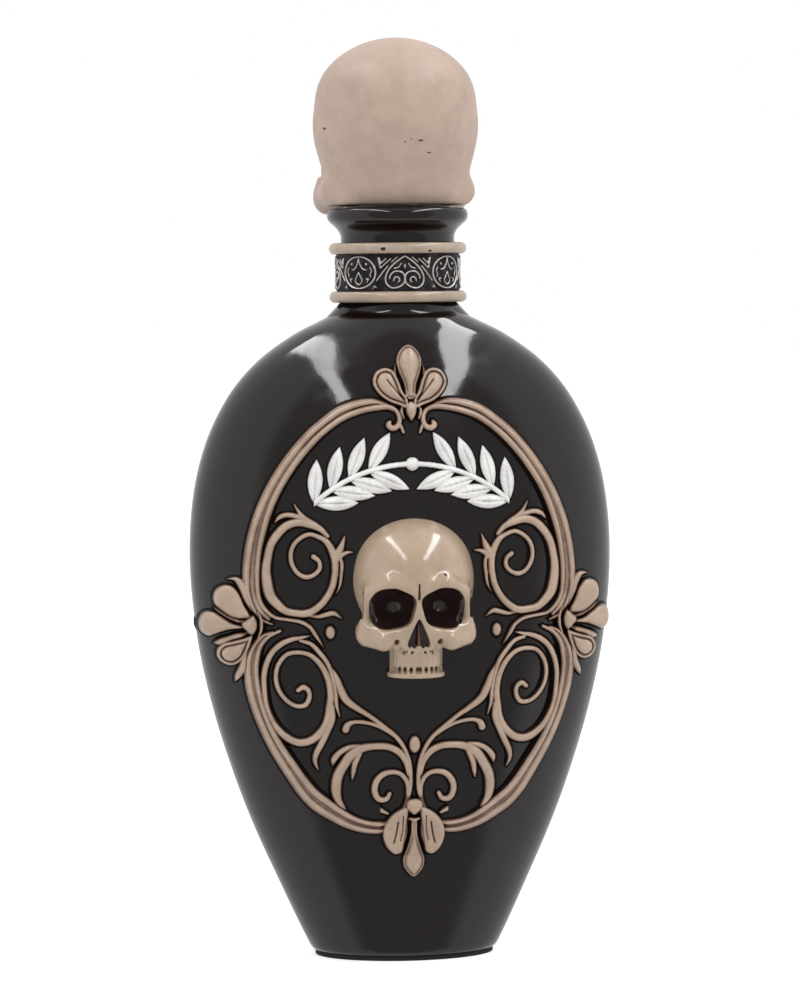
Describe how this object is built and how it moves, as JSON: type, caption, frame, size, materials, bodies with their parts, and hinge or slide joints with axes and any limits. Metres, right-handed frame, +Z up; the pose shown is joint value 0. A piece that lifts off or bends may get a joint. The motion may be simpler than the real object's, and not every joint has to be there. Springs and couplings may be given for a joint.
{
  "type": "poison bottle",
  "caption": "Flattened dark bottle with a scrolled bone-coloured cartouche round a small skull, a pewter neck band and a turning, lifting skull stopper.",
  "frame": {"origin": "centre of the flat pad's underside", "axes": "+Z up the bottle; the cartouche faces -Y; +X to the right of someone facing the cartouche"},
  "size_m": [0.0836, 0.054, 0.1803],
  "materials": {
    "pad_felt": "thin black felt",
    "dark_resin": "cast resin, black-brown, high gloss",
    "ring_bone": "bone-coloured paint, satin",
    "pewter": "aged pewter paint, dark in the recesses",
    "scroll_bone": "bone-coloured paint with a brown wash, satin",
    "white_paint": "off-white paint, satin",
    "medallion_bone": "bone-coloured paint under gloss varnish",
    "cork": "natural cork",
    "stopper_bone": "bone-coloured paint, matt"
  },
  "bodies": {
    "bottle": {"base_pad": "pad_felt", "bottle_body": "dark_resin", "lower_neck_ring": "ring_bone", "neck_band": "pewter", "upper_neck_ring": "ring_bone", "top_crest": "scroll_bone", "bottom_crest": "scroll_bone", "left_crest": "scroll_bone", "right_crest": "scroll_bone", "upper_left_frame": "scroll_bone", "upper_right_frame": "scroll_bone", "lower_left_frame": "scroll_bone", "lower_right_frame": "scroll_bone", "upper_left_scroll": "scroll_bone", "upper_right_scroll": "scroll_bone", "lower_left_scroll": "scroll_bone", "lower_right_scroll": "scroll_bone", "bottom_left_scroll": "scroll_bone", "bottom_right_scroll": "scroll_bone", "left_bead": "scroll_bone", "right_bead": "scroll_bone", "drop_bead": "scroll_bone", "laurel_garland": "white_paint", "skull_medallion": "medallion_bone"},
    "sleeve": {"cork_sleeve": "cork"},
    "stopper": {"stopper_peg": "dark_resin", "stopper_skull": "stopper_bone"}
  },
  "joints": [
    {"name": "stopper_lift", "type": "slide", "parent": "bottle", "child": "sleeve", "axis": [0, 0, 1], "range_m": [0, 0.03]},
    {"name": "stopper_turn", "type": "hinge", "parent": "sleeve", "child": "stopper", "pos_m": [0, 0, 0.1474], "axis": [0, 0, 1], "continuous": true}
  ]
}
